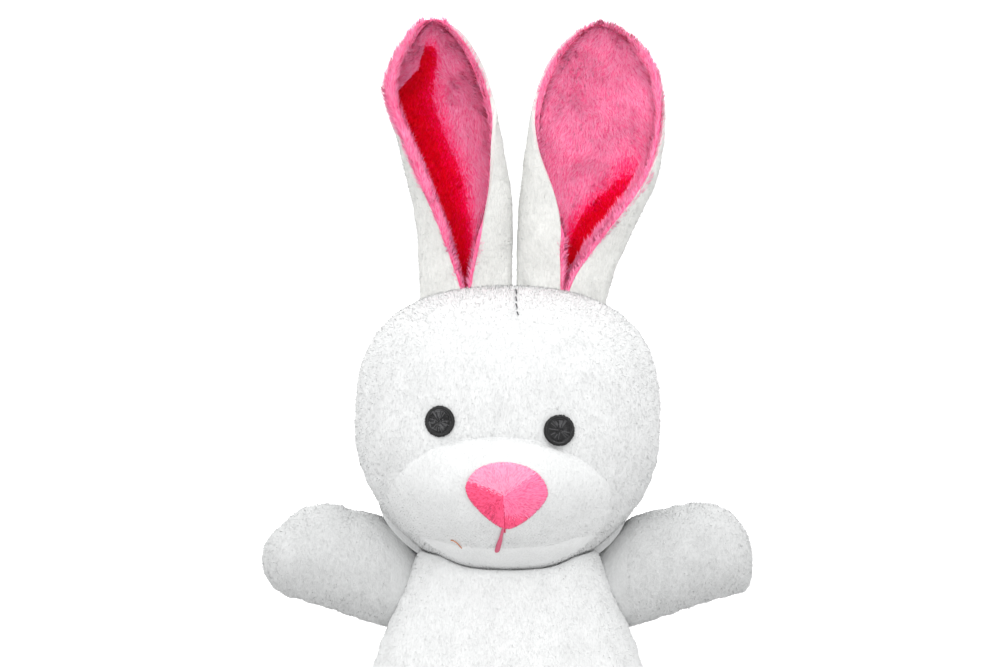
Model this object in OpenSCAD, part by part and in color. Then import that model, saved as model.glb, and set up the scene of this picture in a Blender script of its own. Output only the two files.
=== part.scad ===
// Plush rabbit hand puppet: a lined glove with a stuffed head, two ears and
// two mitten arms. Millimetres, Z up, the face looks along -Y, and the hem
// of the glove rests on z = 0.

/* [Head] */
// Height of the middle of the head above the hem.
head_z = 180; // [150:1:210]
// Half of the head across the cheeks.
head_half_width = 53.5; // [40:0.5:65]
// Half of the head from face to back.
head_half_depth = 47; // [35:0.5:60]
// Half of the head from chin to crown.
head_half_height = 50; // [38:0.5:60]
// How square the crown is: 2 is round.
crown_power = 2.75; // [2:0.05:4]
// How square the jaw is: 2 is round.
chin_power = 1.95; // [1.8:0.05:4]
// How square the head is seen from above.
cheek_power = 2.15; // [2:0.05:4]
// Thickness of the white plush with its pile.
plush = 2.4; // [1:0.1:5]

/* [Face] */
// Half of the muzzle across.
muzzle_half_width = 38; // [25:0.5:48]
// Half of the muzzle from top to bottom.
muzzle_half_height = 21; // [14:0.5:28]
// How far the muzzle stands out of the face.
muzzle_bulge = 11; // [4:0.5:18]
// Radius of an embroidered eye.
eye_radius = 5.4; // [3:0.1:9]
// Half of the nose across.
nose_half_width = 14; // [8:0.5:20]
// Half of the nose from top to bottom.
nose_half_height = 12; // [7:0.5:18]
// Diameter of the embroidery thread laid as a stroke.
stroke = 1.8; // [0.6:0.1:3]

/* [Ears] */
// Thickness of each of the two layers of an ear.
ear_layer = 2; // [1:0.1:4]
// How far the root of an ear stands off the crown.
ear_lift = 2.6; // [1:0.1:5]

/* [Glove] */
// Half of the hem across.
hem_half_width = 62; // [45:0.5:80]
// Half of the hem from front to back.
hem_half_depth = 38; // [25:0.5:55]
// Thickness of the lining.
lining = 1.3; // [0.6:0.1:3]
// Radius of the finger pocket in the head.
finger_radius = 11; // [8:0.1:14]
// Depth of the finger pocket.
finger_depth = 55; // [35:1:70]

/* [Arms] */
// Distance of the shoulder from the middle of the glove.
shoulder_x = 39; // [30:0.5:50]
// Distance of the shoulder behind the middle of the glove.
shoulder_y = 8; // [0:0.5:15]
// Height of the shoulder above the hem.
shoulder_z = 130; // [110:0.5:150]
// Radius of the round the armhole is cut on.
armhole_radius = 20.5; // [15:0.5:26]

/* [Hidden] */
$fn = 0;
$fa = 6;
$fs = 0.5;
gap = 0.2;
neck_latitude = -72;
crown_latitude = 87.5;

white = [0.95, 0.96, 0.96];
pink = [0.95, 0.45, 0.6];
rose = [0.98, 0.5, 0.66];
black = [0.09, 0.09, 0.1];
tan = [0.76, 0.52, 0.36];
cotton = [0.93, 0.92, 0.9];
wadding = [0.97, 0.97, 0.95];

// Ear rows: height over the middle of the head, left edge, right edge, wrap of
// the left and right flap in degrees, depth, and set-back.
left_ear_rows = [
    [50.0, 2.8, 33.2, 172, 172, 6.5, 5],
    [60.0, 2.8, 38.5, 166, 160, 7.5, 5.5],
    [71.0, 2.9, 44.5, 158, 146, 8.5, 6],
    [86.0, 4.2, 52.3, 136, 118, 9.5, 6.5],
    [100.0, 6.0, 54.6, 116, 100, 9.5, 7],
    [114.0, 7.4, 55.7, 98, 88, 9, 7.5],
    [125.0, 10.6, 54.0, 84, 76, 8.5, 7.5],
    [134.0, 15.2, 49.2, 72, 66, 8, 7],
    [140.5, 21.0, 42.0, 60, 56, 7, 6.5],
    [144.0, 28.0, 34.5, 50, 50, 6.5, 6]
];
right_ear_rows = [
    [50.0, -30.6, 2.2, 172, 172, 7, 5],
    [60.0, -31.6, 2.2, 160, 166, 8.5, 5.5],
    [72.0, -32.8, 2.0, 149, 158, 10, 5.5],
    [85.0, -35.2, 1.0, 134, 138, 11, 5.5],
    [100.0, -38.4, -1.0, 104, 122, 12, 5],
    [113.0, -42.4, -3.6, 92, 100, 12, 4],
    [121.0, -43.6, -5.8, 88, 90, 11, 3],
    [130.0, -40.8, -9.2, 84, 84, 10, 1.5],
    [139.0, -36.0, -15.6, 76, 76, 8, -0.5],
    [145.5, -30.5, -21.5, 60, 60, 6, -2]
];

// Glove rows: height, half width, half depth.
glove_rows = [
    [0, hem_half_width, hem_half_depth],
    [14, hem_half_width - 0.6, hem_half_depth - 0.4],
    [34, hem_half_width - 2.2, hem_half_depth - 1.2],
    [56, hem_half_width - 5.2, hem_half_depth - 2.6],
    [76, hem_half_width - 9, hem_half_depth - 4.4],
    [94, hem_half_width - 13, hem_half_depth - 6],
    [106, hem_half_width - 16, hem_half_depth - 7.4],
    [115, hem_half_width - 19.5, hem_half_depth - 8.4],
    [122, hem_half_width - 23.5, hem_half_depth - 9],
    [128, hem_half_width - 28.5, hem_half_depth - 9.4],
    [132.5, hem_half_width - 33, hem_half_depth - 10]
];

// Arm rows: reach from the middle, height, half height, half depth, set-back.
left_arm_rows = [
    [34.5, 125.0, 10.5, 10.5, 9.0],
    [40.0, 128.0, 14.2, 12.8, 9.0],
    [46.5, 130.8, 17.0, 14.5, 8.5],
    [53.0, 133.4, 18.4, 15.5, 7.5],
    [60.0, 135.2, 18.3, 16.0, 6.5],
    [68.0, 137.0, 17.5, 15.5, 5.5],
    [75.0, 137.2, 15.7, 14.0, 5.0],
    [80.5, 136.0, 13.2, 11.5, 4.5],
    [84.0, 134.0, 9.6, 7.5, 4.5],
    [85.8, 133.0, 0, 0, 4.5]
];
right_arm_rows = [
    [34.5, 125.0, 10.5, 10.5, 9.0],
    [40.0, 128.0, 14.2, 12.8, 9.0],
    [46.5, 130.8, 17.0, 14.5, 8.5],
    [53.0, 133.2, 18.4, 15.5, 7.5],
    [60.0, 135.0, 18.6, 16.0, 6.5],
    [67.0, 136.2, 17.9, 15.5, 5.5],
    [73.5, 136.4, 15.8, 14.0, 5.0],
    [79.0, 134.8, 12.4, 11.5, 4.5],
    [83.5, 134.6, 8.2, 7.5, 4.5],
    [86.0, 135.0, 0, 0, 4.5]
];

// ---------- Shared building blocks ----------

// A closed skin between an outer and an inner surface over u, v = 0..1.
// wrap joins u = 1 to u = 0; cap draws the v = 1 row together to one point.
module skin(outer, inner, nu, nv, wrap = false, cap = false) {
    cols = wrap ? nu : nu + 1;
    rows = cap ? nv : nv + 1;
    grid = cols * rows;
    count = grid + (cap ? 1 : 0);
    at = function (i, j) (cap && j == nv) ? grid : j * cols + (wrap ? i % nu : i);
    points = concat(
        [for (j = [0:rows - 1]) for (i = [0:cols - 1]) outer(i / nu, j / nv)],
        cap ? [outer(0, 1)] : [],
        [for (j = [0:rows - 1]) for (i = [0:cols - 1]) inner(i / nu, j / nv)],
        cap ? [inner(0, 1)] : []
    );
    outside = [
        for (j = [0:nv - 1]) for (i = [0:nu - 1]) each [
            [at(i, j), at(i, j + 1), at(i + 1, j + 1)],
            [at(i, j), at(i + 1, j + 1), at(i + 1, j)]
        ]
    ];
    inside = [for (t = outside) [t[2] + count, t[1] + count, t[0] + count]];
    first_row = [
        for (i = [0:nu - 1]) each [
            [at(i, 0), at(i + 1, 0), at(i + 1, 0) + count],
            [at(i, 0), at(i + 1, 0) + count, at(i, 0) + count]
        ]
    ];
    last_row = cap ? [] : [
        for (i = [0:nu - 1]) each [
            [at(i + 1, nv), at(i, nv), at(i, nv) + count],
            [at(i + 1, nv), at(i, nv) + count, at(i + 1, nv) + count]
        ]
    ];
    sides = wrap ? [] : [
        for (j = [0:nv - 1]) each [
            [at(0, j + 1), at(0, j), at(0, j) + count],
            [at(0, j + 1), at(0, j) + count, at(0, j + 1) + count],
            [at(nu, j), at(nu, j + 1), at(nu, j + 1) + count],
            [at(nu, j), at(nu, j + 1) + count, at(nu, j) + count]
        ]
    ];
    faces = [
        for (t = concat(outside, inside, first_row, last_row, sides))
            if (t[0] != t[1] && t[1] != t[2] && t[0] != t[2]) t
    ];
    polyhedron(points = points, faces = faces, convexity = 10);
}

// A straight thread with round ends from a to b.
module thread(a, b, d) {
    along = b - a;
    reach = norm(along);
    translate(a)
        rotate([0, acos(along[2] / reach), atan2(along[1], along[0])]) {
            cylinder(d = d, h = reach);
            sphere(d = d);
            translate([0, 0, reach]) sphere(d = d);
        }
}

// ---------- Head ----------

// 1 on the outside of the head, growing evenly away from its middle.
function head_gauge(d) =
    let (n = d[2] >= 0 ? crown_power : chin_power)
    pow(
        pow(
            pow(abs(d[0]) / head_half_width, cheek_power)
                + pow(abs(d[1]) / head_half_depth, cheek_power),
            n / cheek_power
        ) + pow(abs(d[2]) / head_half_height, n),
        1 / n
    );
function ray(az, el) = [cos(az) * cos(el), sin(az) * cos(el), sin(el)];
function head_point(az, el, inset) =
    let (d = ray(az, el)) d * (1 / head_gauge(d) - inset);

// Distance of the face in front of the middle of the head at x, z.
function face_y(x, z) =
    let (
        n = z >= 0 ? crown_power : chin_power,
        level = pow(max(0.0001, 1 - pow(abs(z) / head_half_height, n)), cheek_power / n)
    )
    head_half_depth * pow(
        max(0.0001, level - pow(abs(x) / head_half_width, cheek_power)),
        1 / cheek_power
    );

// Height of the crown over the middle of the head at x, y.
function crown_z(x, y) =
    head_half_height * pow(
        max(0.05, 1 - pow(
            pow(abs(x) / head_half_width, cheek_power)
                + pow(abs(y) / head_half_depth, cheek_power),
            crown_power / cheek_power
        )),
        1 / crown_power
    );

// A head panel between two azimuths.
module head_panel(from, to, nu) {
    translate([0, 0, head_z])
        skin(
            function (u, v) head_point(
                from + (to - from) * u,
                neck_latitude + (crown_latitude - neck_latitude) * v, 0),
            function (u, v) head_point(
                from + (to - from) * u,
                neck_latitude + (crown_latitude - neck_latitude) * v, plush),
            nu, 16
        );
}

module head_front_left_panel() {
    color(white) head_panel(-89.8, -0.2, 11);
}

module head_front_right_panel() {
    color(white) head_panel(-179.8, -90.2, 11);
}

module head_back_panel() {
    color(white) head_panel(0.2, 179.8, 20);
}

// The wadding, with a round well for the finger pocket.
module head_fill() {
    well = finger_radius + 1.6;
    floor_z = -head_half_height + 5;
    top_z = floor_z + finger_depth + 3;
    color(wadding) translate([0, 0, head_z])
        skin(
            function (u, v) head_point(360 * u, -71 + 161 * v, plush + 0.5),
            function (u, v)
                let (side = min(1, v * 1.6), lid = max(0, v * 1.6 - 1) / 0.6)
                [
                    well * (1 - lid) * cos(360 * u),
                    well * (1 - lid) * sin(360 * u),
                    floor_z + (top_z - floor_z) * side
                ],
            24, 12, wrap = true, cap = true
        );
}

// A blind sleeve for the index finger, open downward.
module finger_pocket() {
    floor_z = head_z - head_half_height + 3;
    color(cotton) translate([0, 0, floor_z])
        difference() {
            cylinder(r = finger_radius + 1.2, h = finger_depth + 1.2);
            translate([0, 0, -1]) cylinder(r = finger_radius, h = finger_depth + 1);
        }
}

// A ring of cloth lying on a ball round the middle of the head.
module neck_band(radius, thick, from, to) {
    translate([0, 0, head_z])
        rotate_extrude()
            polygon(concat(
                [for (a = [from:2:to]) [radius * sin(a), -radius * cos(a)]],
                [for (a = [to:-2:from]) [(radius + thick) * sin(a), -(radius + thick) * cos(a)]]
            ));
}

module neck_lining_edge() {
    color(cotton) neck_band(55, 1.2, 17, 23);
}

module pocket_hem() {
    color(cotton) neck_band(52.2, 1.2, 17, 23);
}

// ---------- Face ----------

muzzle_x = -1.7;
muzzle_z = -23.4;
muzzle_roll = 4;

// A point of the muzzle outline frame: u round it, r from rim to middle.
function muzzle_xz(u, r) =
    let (
        px = muzzle_half_width * r * cos(360 * u),
        pz = muzzle_half_height * r * sin(360 * u)
    )
    [
        muzzle_x + px * cos(muzzle_roll) + pz * sin(muzzle_roll),
        muzzle_z - px * sin(muzzle_roll) + pz * cos(muzzle_roll)
    ];
function muzzle_dome(r) = pow(max(0, 1 - pow(r, 2.4)), 0.72);
function muzzle_front(x, z) =
    let (
        dx = x - muzzle_x,
        dz = z - muzzle_z,
        px = dx * cos(muzzle_roll) - dz * sin(muzzle_roll),
        pz = dx * sin(muzzle_roll) + dz * cos(muzzle_roll),
        r = min(1, norm([px / muzzle_half_width, pz / muzzle_half_height]))
    )
    face_y(x, z) + muzzle_bulge * muzzle_dome(r);

// A layer of the muzzle between two heights over the face.
module muzzle_layer(low, high, rim) {
    translate([0, 0, head_z])
        skin(
            function (u, v)
                let (r = 1 - v, p = muzzle_xz(-u, r * rim))
                [p[0], -face_y(p[0], p[1]) - 0.4 - high * muzzle_dome(r), p[1]],
            function (u, v)
                let (r = 1 - v, p = muzzle_xz(-u, r * rim))
                [p[0], -face_y(p[0], p[1]) - 0.1 - low * muzzle_dome(r), p[1]],
            24, 6, wrap = true, cap = true
        );
}

module muzzle_panel() {
    color(white) muzzle_layer(muzzle_bulge - plush, muzzle_bulge, 1);
}

module muzzle_fill() {
    color(wadding) muzzle_layer(0, muzzle_bulge - plush - 0.4, 0.93);
}

// A satin-stitched disc standing on the face at x, z.
module eye(x, z) {
    y = face_y(x, z);
    slope_x = (face_y(x + 1, z) - face_y(x - 1, z)) / 2;
    slope_z = (face_y(x, z + 1) - face_y(x, z - 1)) / 2;
    color(black) translate([x, -y - 0.15, head_z + z])
        rotate([90 - atan(slope_z), 0, 0])
            rotate([0, -atan(slope_x), 0])
                translate([0, 0, 0.35])
                    rotate_extrude()
                        polygon([
                            [0, 0], [eye_radius, 0], [eye_radius, 0.5],
                            [eye_radius - 0.6, 1.1], [eye_radius - 2.2, 1.5], [0, 1.7]
                        ]);
}

module left_eye() {
    eye(17.5, 0.4);
}

module right_eye() {
    eye(-23.4, 3.5);
}

// The nose is a rounded triangle, wide at the top and narrow at the lip.
nose_x = -0.3;
nose_z = -22.6;
function nose_xz(u, r) =
    let (
        c = cos(360 * u),
        s = sin(360 * u),
        narrow = s < 0 ? 1 - 0.42 * pow(-s, 1.6) : 1 - 0.1 * s
    )
    [
        nose_x + nose_half_width * r * c * narrow,
        nose_z + nose_half_height * r * s + 0.8 * r * (1 - s * s)
    ];

module nose_embroidery() {
    color(rose) translate([0, 0, head_z])
        skin(
            function (u, v)
                let (r = 1 - v, p = nose_xz(-u, r))
                [p[0], -muzzle_front(p[0], p[1]) - 0.8 - 1.2 * pow(1 - r * r, 0.6), p[1]],
            function (u, v)
                let (r = 1 - v, p = nose_xz(-u, r))
                [p[0], -muzzle_front(p[0], p[1]) - 0.5, p[1]],
            24, 5, wrap = true, cap = true
        );
}

// A point standing off the muzzle at x, z by a lift along its normal.
function off_muzzle(x, z, lift) =
    let (
        slope_x = muzzle_front(x + 0.5, z) - muzzle_front(x - 0.5, z),
        slope_z = muzzle_front(x, z + 0.5) - muzzle_front(x, z - 0.5),
        n = [-slope_x, -1, -slope_z]
    )
    [x, -muzzle_front(x, z) - 0.4, head_z + z] + n * lift / norm(n);

// A straight stroke that bends with the lip.
module mouth_stitch() {
    points = [for (k = [0:2]) off_muzzle(-2.3 - 0.85 * k, -36 - 3.2 * k, stroke / 2 + 0.15)];
    color(rose)
        for (k = [0:1]) thread(points[k], points[k + 1], stroke);
}

// Four dashes of thread down the seam of the forehead.
module forehead_stitches() {
    color(black)
        for (k = [0:3]) {
            z0 = 48.2 - 2.6 * k;
            z1 = z0 - 1.3;
            x = 2.6 + 0.35 * k;
            thread(
                [x, -face_y(x, z0) - 0.9, head_z + z0 + 0.35],
                [x, -face_y(x, z1) - 0.7, head_z + z1 + 0.15],
                0.6
            );
        }
}

// A loose end of tan thread at the lower seam of the muzzle.
module chin_thread() {
    color(tan)
        thread(off_muzzle(-19.5, -38.2, 0.55), off_muzzle(-15.3, -41, 0.55), 0.7);
}

// Ladder stitches that close the neck under the chin.
module neck_stitches() {
    color(cotton) translate([0, 0, head_z])
        for (k = [-1:1])
            thread(
                head_point(-94 + 9 * k, -65, -0.5),
                head_point(-92 + 9 * k, -69, -0.5),
                0.7
            );
}

// ---------- Ears ----------

// A point of an ear: u across the sheet, row j, offset outward from its middle.
function ear_point(rows, u, j, offset) =
    let (
        row = rows[j],
        s = 2 * u - 1,
        wrap = s < 0 ? row[3] : row[4],
        half = (row[2] - row[1]) / 2,
        middle = (row[2] + row[1]) / 2,
        a = half / sin(min(90, wrap)),
        b = row[5],
        angle = wrap * s,
        n = [sin(angle) / a, cos(angle) / b],
        n1 = n / norm(n),
        x = middle + (a - ear_layer) * sin(angle) + offset * n1[0],
        y = row[6] + (b - ear_layer) * cos(angle) + offset * n1[1],
        follow = max(0, 1 - j / 3),
        drop = crown_z(x, y) - crown_z(middle, row[6]),
        foot = crown_z(middle, row[6]) + ear_lift
    )
    [x, y, j == 0 ? foot + drop : row[0] + follow * drop];

module ear_sheet(rows, low, high) {
    nv = len(rows) - 1;
    translate([0, 0, head_z])
        skin(
            function (u, v) ear_point(rows, 1 - u, round(v * nv), high),
            function (u, v) ear_point(rows, 1 - u, round(v * nv), low),
            18, nv
        );
}

module left_ear_outer() {
    color(white) ear_sheet(left_ear_rows, 0.1, ear_layer);
}

module left_ear_lining() {
    color(pink) ear_sheet(left_ear_rows, -ear_layer, -0.1);
}

module right_ear_outer() {
    color(white) ear_sheet(right_ear_rows, 0.1, ear_layer);
}

module right_ear_lining() {
    color(pink) ear_sheet(right_ear_rows, -ear_layer, -0.1);
}

// ---------- Glove ----------

function glove_at(z, k) = lookup(z, [for (row = glove_rows) [row[0], row[k]]]);
function glove_point(t, z, inset) =
    [(glove_at(z, 1) - inset) * cos(t), (glove_at(z, 2) - inset) * sin(t), z];

// Angle from the side seam to the edge of the armhole at a height, on the
// front (face = -1) or the back (face = 1).
function armhole_edge(z, face) =
    let (
        inside = [
            for (t = [0:1:80])
                let (p = glove_point(t, z, 0))
                if (norm([
                    p[0] - shoulder_x, face * p[1] - shoulder_y, z - shoulder_z
                ]) < armhole_radius) t
        ]
    )
    len(inside) == 0 ? 0.3 : max(inside) + 1;

// A front layer of the glove between two heights and two insets.
module glove_front(low_z, high_z, from, to, nu, nv) {
    skin(
        function (u, v)
            let (z = low_z + (high_z - low_z) * v, edge = armhole_edge(z, -1))
            glove_point(-180 + edge + (180 - 2 * edge) * u, z, from),
        function (u, v)
            let (z = low_z + (high_z - low_z) * v, edge = armhole_edge(z, -1))
            glove_point(-180 + edge + (180 - 2 * edge) * u, z, to),
        nu, nv
    );
}

module glove_back(low_z, high_z, from, to, nu, nv) {
    skin(
        function (u, v)
            let (z = low_z + (high_z - low_z) * v, edge = armhole_edge(z, 1))
            glove_point(edge + (180 - 2 * edge) * u, z, from),
        function (u, v)
            let (z = low_z + (high_z - low_z) * v, edge = armhole_edge(z, 1))
            glove_point(edge + (180 - 2 * edge) * u, z, to),
        nu, nv
    );
}

neck_z = 132.5;
module glove_front_panel() {
    color(white) glove_front(0, neck_z, 0, plush, 20, 15);
}

module glove_back_panel() {
    color(white) glove_back(0, neck_z, 0, plush, 20, 15);
}

module glove_front_lining() {
    color(cotton) glove_front(13, 126, plush + 2 * gap, plush + 2 * gap + lining, 16, 10);
}

module glove_back_lining() {
    color(cotton) glove_back(13, 126, plush + 2 * gap, plush + 2 * gap + lining, 16, 10);
}

// The hem is turned up inside the glove and sewn down.
module hem_turn_up() {
    color(white)
        skin(
            function (u, v) glove_point(360 * u, 0.5 + 12 * v, plush + 2 * gap),
            function (u, v) glove_point(360 * u, 0.5 + 12 * v, plush + 2 * gap + 1.6),
            40, 1, wrap = true
        );
}

// ---------- Arms, drawn for the left side ----------

function arm_point(rows, t, j, inset) =
    let (
        row = rows[j],
        root = rows[0][0],
        tip = rows[len(rows) - 1][0],
        high = max(0, row[2] - inset),
        deep = max(0, row[3] - inset)
    )
    [
        root + (row[0] - root) * (tip - root - inset) / (tip - root),
        row[4] + deep * cos(t),
        row[1] + high * sin(t)
    ];

module arm_panel(rows, from, to, shift) {
    nv = len(rows) - 1;
    translate([0, shift, 0])
        skin(
            function (u, v) arm_point(rows, from + (to - from) * u, round(v * nv), 0),
            function (u, v) arm_point(rows, from + (to - from) * u, round(v * nv), plush),
            10, nv, cap = true
        );
}

// A closed finger of lining that stops short of the paw.
module arm_lining(rows) {
    nv = len(rows) - 3;
    inset = plush + gap + 0.1;
    color(cotton)
        skin(
            function (u, v)
                let (p = arm_point(rows, 360 * u, round(v * nv), inset), q = rows[nv])
                v < 1 ? p : [q[0] - 3, q[4], q[1]],
            function (u, v)
                let (p = arm_point(rows, 360 * u, round(v * nv), inset + lining), q = rows[nv])
                v < 1 ? [p[0] - 0.02, p[1], p[2]] : [q[0] - 3 - lining, q[4], q[1]],
            18, nv, wrap = true, cap = true
        );
}

// A pad of wadding that fills the tip of the paw.
module paw_fill(rows) {
    last = len(rows) - 1;
    first = last - 2;
    inset = plush + 0.5;
    color(wadding)
        skin(
            function (u, v)
                arm_point(rows, 360 * u, first + round(v * (last - first)), inset),
            function (u, v)
                let (
                    p = arm_point(rows, 360 * u, first, inset),
                    q = rows[first],
                    k = 1 - v
                )
                [p[0] - 0.5, q[4] + (p[1] - q[4]) * k, q[1] + (p[2] - q[1]) * k],
            18, last - first, wrap = true, cap = true
        );
}

module left_arm_front_panel() {
    color(white) arm_panel(left_arm_rows, 90, 270, -0.1);
}

module left_arm_back_panel() {
    color(white) arm_panel(left_arm_rows, -90, 90, 0.1);
}

module left_arm_lining() {
    arm_lining(left_arm_rows);
}

module left_paw_fill() {
    paw_fill(left_arm_rows);
}

module right_arm_front_panel() {
    color(white) mirror([1, 0, 0]) arm_panel(right_arm_rows, 90, 270, -0.1);
}

module right_arm_back_panel() {
    color(white) mirror([1, 0, 0]) arm_panel(right_arm_rows, -90, 90, 0.1);
}

module right_arm_lining() {
    mirror([1, 0, 0]) arm_lining(right_arm_rows);
}

module right_paw_fill() {
    mirror([1, 0, 0]) paw_fill(right_arm_rows);
}

// ---------- The puppet ----------

glove_front_panel();
glove_back_panel();
glove_front_lining();
glove_back_lining();
hem_turn_up();
neck_lining_edge();
pocket_hem();
head_front_left_panel();
head_front_right_panel();
head_back_panel();
head_fill();
finger_pocket();
muzzle_panel();
muzzle_fill();
left_eye();
right_eye();
nose_embroidery();
mouth_stitch();
forehead_stitches();
chin_thread();
neck_stitches();
left_ear_outer();
left_ear_lining();
right_ear_outer();
right_ear_lining();
left_arm_front_panel();
left_arm_back_panel();
left_arm_lining();
left_paw_fill();
right_arm_front_panel();
right_arm_back_panel();
right_arm_lining();
right_paw_fill();
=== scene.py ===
import math

import bpy
import numpy as np
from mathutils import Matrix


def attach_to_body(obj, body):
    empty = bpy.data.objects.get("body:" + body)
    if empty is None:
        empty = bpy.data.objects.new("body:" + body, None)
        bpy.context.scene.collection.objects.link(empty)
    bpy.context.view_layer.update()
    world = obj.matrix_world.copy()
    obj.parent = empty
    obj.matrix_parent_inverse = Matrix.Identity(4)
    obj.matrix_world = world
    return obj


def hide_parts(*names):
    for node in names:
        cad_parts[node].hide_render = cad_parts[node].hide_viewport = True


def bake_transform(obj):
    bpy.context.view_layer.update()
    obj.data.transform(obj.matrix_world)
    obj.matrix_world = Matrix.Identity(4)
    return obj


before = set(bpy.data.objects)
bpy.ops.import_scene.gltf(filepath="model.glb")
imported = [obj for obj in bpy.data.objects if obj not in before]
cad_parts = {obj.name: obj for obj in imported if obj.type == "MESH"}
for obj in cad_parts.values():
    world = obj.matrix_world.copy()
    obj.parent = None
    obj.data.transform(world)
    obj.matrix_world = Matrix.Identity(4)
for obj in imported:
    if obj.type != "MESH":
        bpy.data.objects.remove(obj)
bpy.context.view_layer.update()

# Places of two numbers are x and z from the head's middle.
MM = 0.001
HEAD = np.array([0.0, 0.0, 180.0])
HEAD_HALF = np.array([53.5, 47.0, 50.0])
CROWN_POWER = 2.75
CHIN_POWER = 1.95
CHEEK_POWER = 2.15
UNDERSIDE_RADIUS = 51.2
CHIN_FULLNESS = 2.3
LIP_RADIUS = 51.8
LIP_FULLNESS = 2.2
EYES = {"left": (17.5, 0.4), "right": (-23.4, 3.5)}
EYE_RADIUS = 5.35
MUZZLE = (-1.7, -23.4)
MUZZLE_HALF = (38.0, 21.0)
MUZZLE_DROP = 1.17
MUZZLE_BULGE = 11.0
MUZZLE_ROLL = math.radians(4)
BEAD_COLUMNS = 14


def link(name, data, materials=()):
    """A new object in the scene."""
    piece = bpy.data.objects.new(name, data)
    bpy.context.scene.collection.objects.link(piece)
    for material in materials:
        data.materials.append(material)
    return piece


def give(node, values):
    """Set sockets of a node by their names."""
    for socket, value in values.items():
        node.inputs[socket].default_value = value
    return node


# ---- Camera, light and floor ----

def make_camera():
    data = bpy.data.cameras.new("camera")
    data.sensor_width = 36
    data.lens = 308.5
    data.clip_end = 100
    camera = link("camera", data)
    camera.location = (-0.0028, -3.0, 0.2138)
    camera.rotation_euler = (math.pi / 2, 0, 0)
    bpy.context.scene.camera = camera


def make_world():
    """A white studio, brighter behind the puppet and overhead."""
    world = bpy.data.worlds.new("studio")
    bpy.context.scene.world = world
    world.use_nodes = True
    nodes, links = world.node_tree.nodes, world.node_tree.links
    coords = nodes.new("ShaderNodeTexCoord")
    axes = nodes.new("ShaderNodeSeparateXYZ")
    links.new(coords.outputs["Generated"], axes.inputs["Vector"])
    strength = None
    for axis, low, high, gain in (("Y", 0.25, 0.85, 0.62), ("Z", 0.1, 0.9, 0.4)):
        ramp = nodes.new("ShaderNodeMapRange")
        ramp.interpolation_type = "SMOOTHSTEP"
        give(ramp, {"From Min": low, "From Max": high, "To Max": gain})
        links.new(axes.outputs[axis], ramp.inputs["Value"])
        total = nodes.new("ShaderNodeMath")
        links.new(ramp.outputs["Result"], total.inputs[0])
        if strength is None:
            total.inputs[1].default_value = 1.02
        else:
            links.new(strength.outputs["Value"], total.inputs[1])
        strength = total
    background = give(nodes["Background"], {"Color": (1, 1, 1, 1)})
    links.new(strength.outputs["Value"], background.inputs["Strength"])


def make_lights():
    """Two broad suns on the puppet, and a panel that lights the floor behind it."""
    bpy.context.scene.view_settings.view_transform = "Standard"
    for name, energy, angle, turn in (
        ("key", 0.75, 45, (40, 0, -12)),
        ("fill", 1.05, 60, (78, 0, 4)),
    ):
        data = bpy.data.lights.new(name, "SUN")
        data.energy = energy
        data.angle = math.radians(angle)
        link(name, data).rotation_euler = [math.radians(a) for a in turn]
    data = bpy.data.lights.new("backdrop", "AREA")
    data.shape = "RECTANGLE"
    data.size = 18
    data.size_y = 14
    data.energy = 1900
    # The narrow spread keeps most of this light off the puppet's back.
    data.spread = math.radians(80)
    link("backdrop", data).location = (0, 9.5, 4)


def make_floor():
    mesh = bpy.data.meshes.new("floor")
    mesh.from_pydata([(-20, -10, 0), (20, -10, 0), (20, 16, 0), (-20, 16, 0)], [], [(0, 1, 2, 3)])
    material = bpy.data.materials.new("floor")
    material.use_nodes = True
    give(material.node_tree.nodes["Principled BSDF"], {
        "Base Color": (0.6, 0.6, 0.6, 1), "Roughness": 1.0, "Specular IOR Level": 0})
    link("floor", mesh, [material])


make_camera()
make_world()
make_lights()
make_floor()


# ---- Numbers ----

def smooth(x, low, high):
    """0 below low, 1 above high and an eased step between."""
    t = np.clip((x - low) / (high - low), 0, 1)
    return t * t * (3 - 2 * t)


def bell(x, width):
    """1 where x is 0, and next to nothing past twice the width."""
    return np.exp(-(x / width) ** 2)


def grids(across, up):
    """Values across the columns and values up the rows, each as [row, column]."""
    return across[None] * np.ones((len(up), 1)), up[:, None] * np.ones((1, len(across)))


def spline(stations, values, x):
    """Values at x on a Catmull-Rom curve through the stations."""
    stations = np.asarray(stations, float)
    values = np.asarray(values, float)
    slope = np.gradient(values, stations, axis=0)
    k = np.clip(np.searchsorted(stations, x) - 1, 0, len(stations) - 2)
    step = stations[k + 1] - stations[k]
    t = np.clip((x - stations[k]) / step, 0, 1)
    return (
        (2 * t**3 - 3 * t**2 + 1) * values[k] + (t**3 - 2 * t**2 + t) * step * slope[k]
        + (-2 * t**3 + 3 * t**2) * values[k + 1] + (t**3 - t**2) * step * slope[k + 1]
    )


def cell_value(cell, seed):
    """A repeatable random value from -1 to 1 for each cell of a cubic lattice."""
    mixers = (374761393, 668265263, 2147483647)
    h = sum(cell[..., axis] * mixer for axis, mixer in enumerate(mixers)) + seed * 974634777
    h = h.astype(np.uint64)
    h = (h ^ (h >> np.uint64(13))) * np.uint64(1274126177)
    h = h ^ (h >> np.uint64(16))
    return (h & np.uint64(0xFFFFFF)).astype(float) / 0x7FFFFF - 1


def noise(points, size, seed):
    """Smooth noise from -1 to 1 with features of about the given size."""
    p = np.asarray(points) / size
    base = np.floor(p).astype(np.int64)
    f = p - base
    f = f * f * (3 - 2 * f)
    total = 0
    for corner in range(8):
        pick = np.array([corner & 1, (corner >> 1) & 1, (corner >> 2) & 1])
        weight = np.prod(np.where(pick == 1, f, 1 - f), axis=-1)
        total = total + weight * cell_value(base + pick, seed)
    return total


def unit(v):
    return v / np.maximum(np.linalg.norm(v, axis=-1, keepdims=True), 1e-9)


# ---- The head's form: the CAD's, with a muzzle that hangs lower ----

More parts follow.
